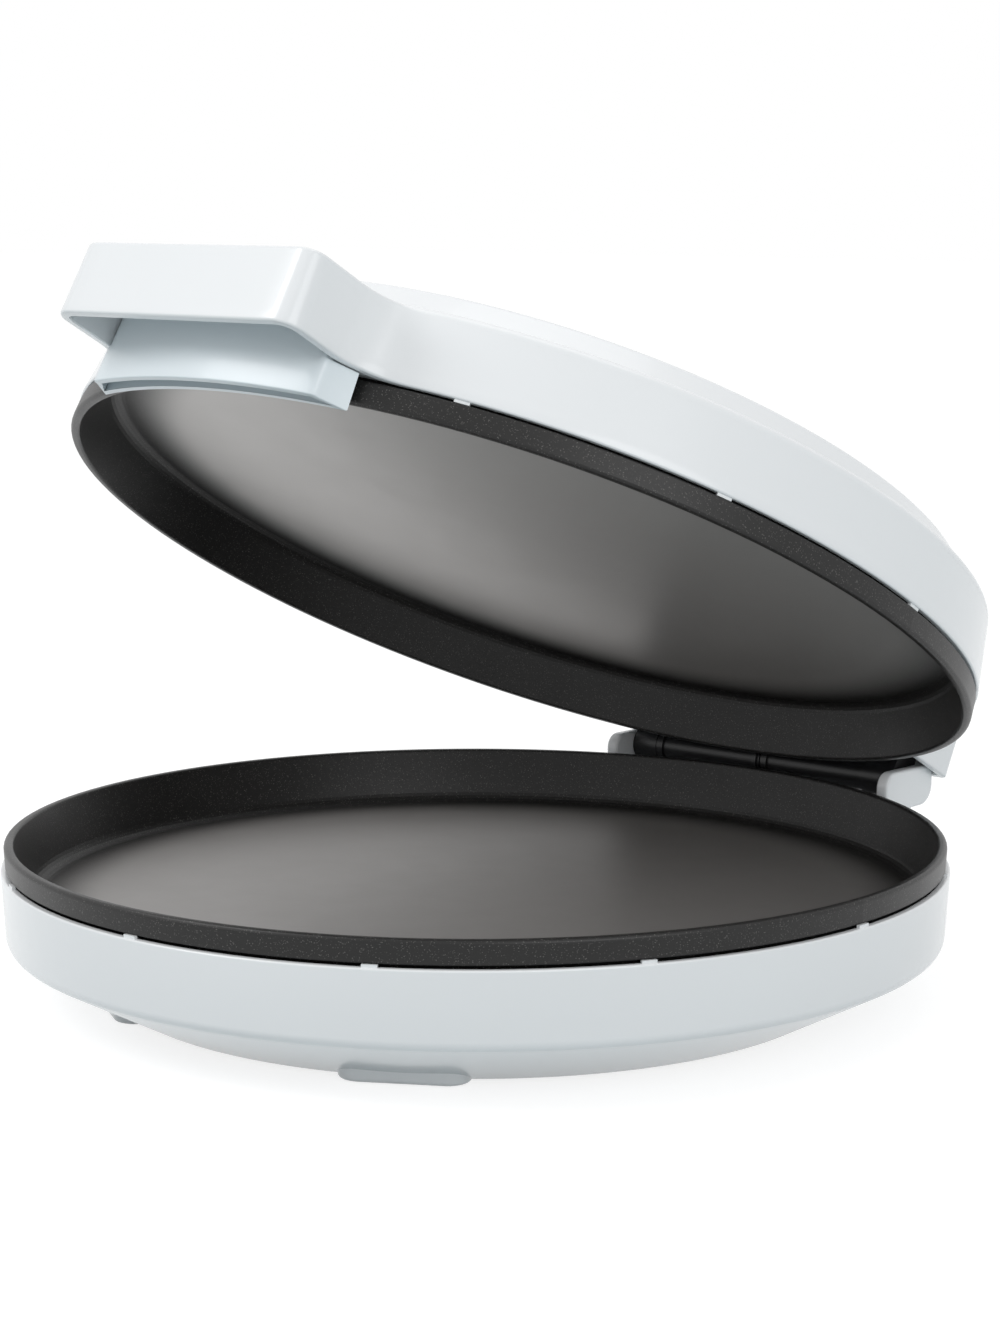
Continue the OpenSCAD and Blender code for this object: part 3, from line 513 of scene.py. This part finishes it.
def liner():
    """Block that closes the handle's inner side, wider below the skirt, with a lip round a groove."""
    inside = HANDLE_W - HANDLE_WALL - 0.8
    lip_edge_r, groove = 0.5, 10

    def on_circle(r, half_angle, along):
        a = math.radians(half_angle * along)
        return r * math.sin(a), -r * math.cos(a)

    def outline(z, d, flare):
        rise = (z - LINER_LOW) / (LINER_TOP - LINER_LOW)
        side = inside - HANDLE_DRAFT * rise + 0.2 * flare - d
        front = LINER_FRONT - 1.6 * rise - d
        back = LINER_BACK + d
        c = 2.4 - min(d, 1.6)
        fa = math.degrees(math.asin((side - 1.2 * c) / front))
        ba = math.degrees(math.asin((side + 0.8 * flare) / back))
        fy = front * math.cos(math.radians(fa))
        line = [on_circle(front, fa, k / 12 - 1) for k in range(25)]
        corner = [(side - 0.45 * c, -fy + 0.25 * c), (side - 0.12 * c, -fy + 0.65 * c), (side, -fy + 1.2 * c)]
        rear = [on_circle(back, ba, 1 - k / 12) for k in range(25)]
        return raised(line + corner + rear + [(-x, y) for x, y in corner[::-1]], z)

    def lip(d, z):
        return [(x, y, z) for x, y, _ in outline(LINER_LOW, d, LINER_FLARE)]

    rings = [outline(LINER_TOP, 0, 0.2), outline(SKIRT_Z - 0.3, 0, 0.2)]
    rings += [outline(SKIRT_Z - 0.45, 0, LINER_FLARE)]
    rings += [lip(lip_edge_r * (1 - math.cos(t)), LINER_LOW + lip_edge_r * (1 - math.sin(t)))
              for t in quarter(4)]
    rings += [lip(LINER_T - lip_edge_r * math.cos(t), LINER_LOW + lip_edge_r * (1 - math.sin(t)))
              for t in quarter(4)[::-1]]
    rings += [lip(LINER_T + 0.2, LINER_LOW + groove)]
    return skin(rings, True, True)


piece("lid_shell", joined(lid_shell(), hood()), SHELL, "lid", ["lid_housing"], on_lid=True)
piece("lid_top", cap(), SHELL, "lid", ["lid_cap"], on_lid=True)
piece("handle_lining", liner(), LINER, "lid", ["handle_liner"], on_lid=True)


# Stage
def white_for_camera(nt, lit, shown):
    """Mixes two shaders so that camera, glossy and transmission rays get the second."""
    path = nt.nodes.new("ShaderNodeLightPath")
    factor = path.outputs["Is Camera Ray"]
    for ray in ("Is Glossy Ray", "Is Transmission Ray"):
        either = nt.nodes.new("ShaderNodeMath")
        either.operation = "MAXIMUM"
        nt.links.new(factor, either.inputs[0])
        nt.links.new(path.outputs[ray], either.inputs[1])
        factor = either.outputs[0]
    mix = nt.nodes.new("ShaderNodeMixShader")
    nt.links.new(factor, mix.inputs[0])
    nt.links.new(lit, mix.inputs[1])
    nt.links.new(shown, mix.inputs[2])
    return mix.outputs[0]


FLOOR = 9   # half the floor's width, in metres
floor_mesh = bpy.data.meshes.new("floor")
floor_mesh.from_pydata([(-FLOOR, -FLOOR, 0), (FLOOR, -FLOOR, 0), (FLOOR, FLOOR, 0), (-FLOOR, FLOOR, 0)], [],
                       [(0, 1, 2, 3)])
floor = bpy.data.objects.new("floor", floor_mesh)
bpy.context.scene.collection.objects.link(floor)
fm = bpy.data.materials.new("floor")
fm.use_nodes = True
nt = fm.node_tree
nt.nodes.remove(nt.nodes["Principled BSDF"])
bounce = nt.nodes.new("ShaderNodeBsdfDiffuse")
bounce.inputs["Color"].default_value = (0.52, 0.58, 0.60, 1)
seen = nt.nodes.new("ShaderNodeBsdfDiffuse")
seen.inputs["Color"].default_value = (0.34, 0.34, 0.34, 1)
glow = nt.nodes.new("ShaderNodeEmission")
glow.inputs["Color"].default_value = (1, 1, 1, 1)
glow.inputs["Strength"].default_value = 0.80
both = nt.nodes.new("ShaderNodeAddShader")
nt.links.new(seen.outputs[0], both.inputs[0])
nt.links.new(glow.outputs[0], both.inputs[1])
nt.links.new(white_for_camera(nt, bounce.outputs[0], both.outputs[0]),
             nt.nodes["Material Output"].inputs["Surface"])
floor_mesh.materials.append(fm)

world = bpy.data.worlds.new("world")
bpy.context.scene.world = world
world.use_nodes = True
nt = world.node_tree
soft = nt.nodes["Background"]
soft.inputs["Color"].default_value = (0.98, 0.99, 1.0, 1)
soft.inputs["Strength"].default_value = 0.62
plain = nt.nodes.new("ShaderNodeBackground")
plain.inputs["Color"].default_value = (1, 1, 1, 1)
plain.inputs["Strength"].default_value = 1.0
nt.links.new(white_for_camera(nt, soft.outputs[0], plain.outputs[0]),
             nt.nodes["World Output"].inputs["Surface"])


def lamp(name, at, size, power):
    """White round lamp at a point in metres, aimed at the middle of the object."""
    data = bpy.data.lights.new(name, "AREA")
    data.shape, data.size, data.energy = "DISK", size, power
    obj = bpy.data.objects.new(name, data)
    obj.location = at
    obj.rotation_euler = (Vector((0, 0, 0.1)) - Vector(at)).to_track_quat("-Z", "Y").to_euler()
    bpy.context.scene.collection.objects.link(obj)


lamp("key", (-0.9, -1.3, 1.5), 1.0, 14)
lamp("fill", (1.6, -0.6, 0.9), 1.2, 8)
lamp("top", (0.1, 0.4, 1.9), 1.2, 3)

camera_data = bpy.data.cameras.new("camera")
camera_data.sensor_fit = "HORIZONTAL"
camera_data.sensor_width = 36
camera_data.lens = 114.01
camera_data.clip_end = 50
camera = bpy.data.objects.new("camera", camera_data)
eye, aim = Vector((0.71489, -0.81399, 0.27777)), Vector((0.00063, 0.01194, 0.11108))
look = (aim - eye).to_track_quat("-Z", "Y").to_matrix().to_4x4()
camera.matrix_world = Matrix.Translation(eye) @ look @ Matrix.Rotation(math.radians(0.106), 4, "Z")
bpy.context.scene.collection.objects.link(camera)
bpy.context.scene.camera = camera
bpy.context.scene.view_settings.view_transform = "Standard"
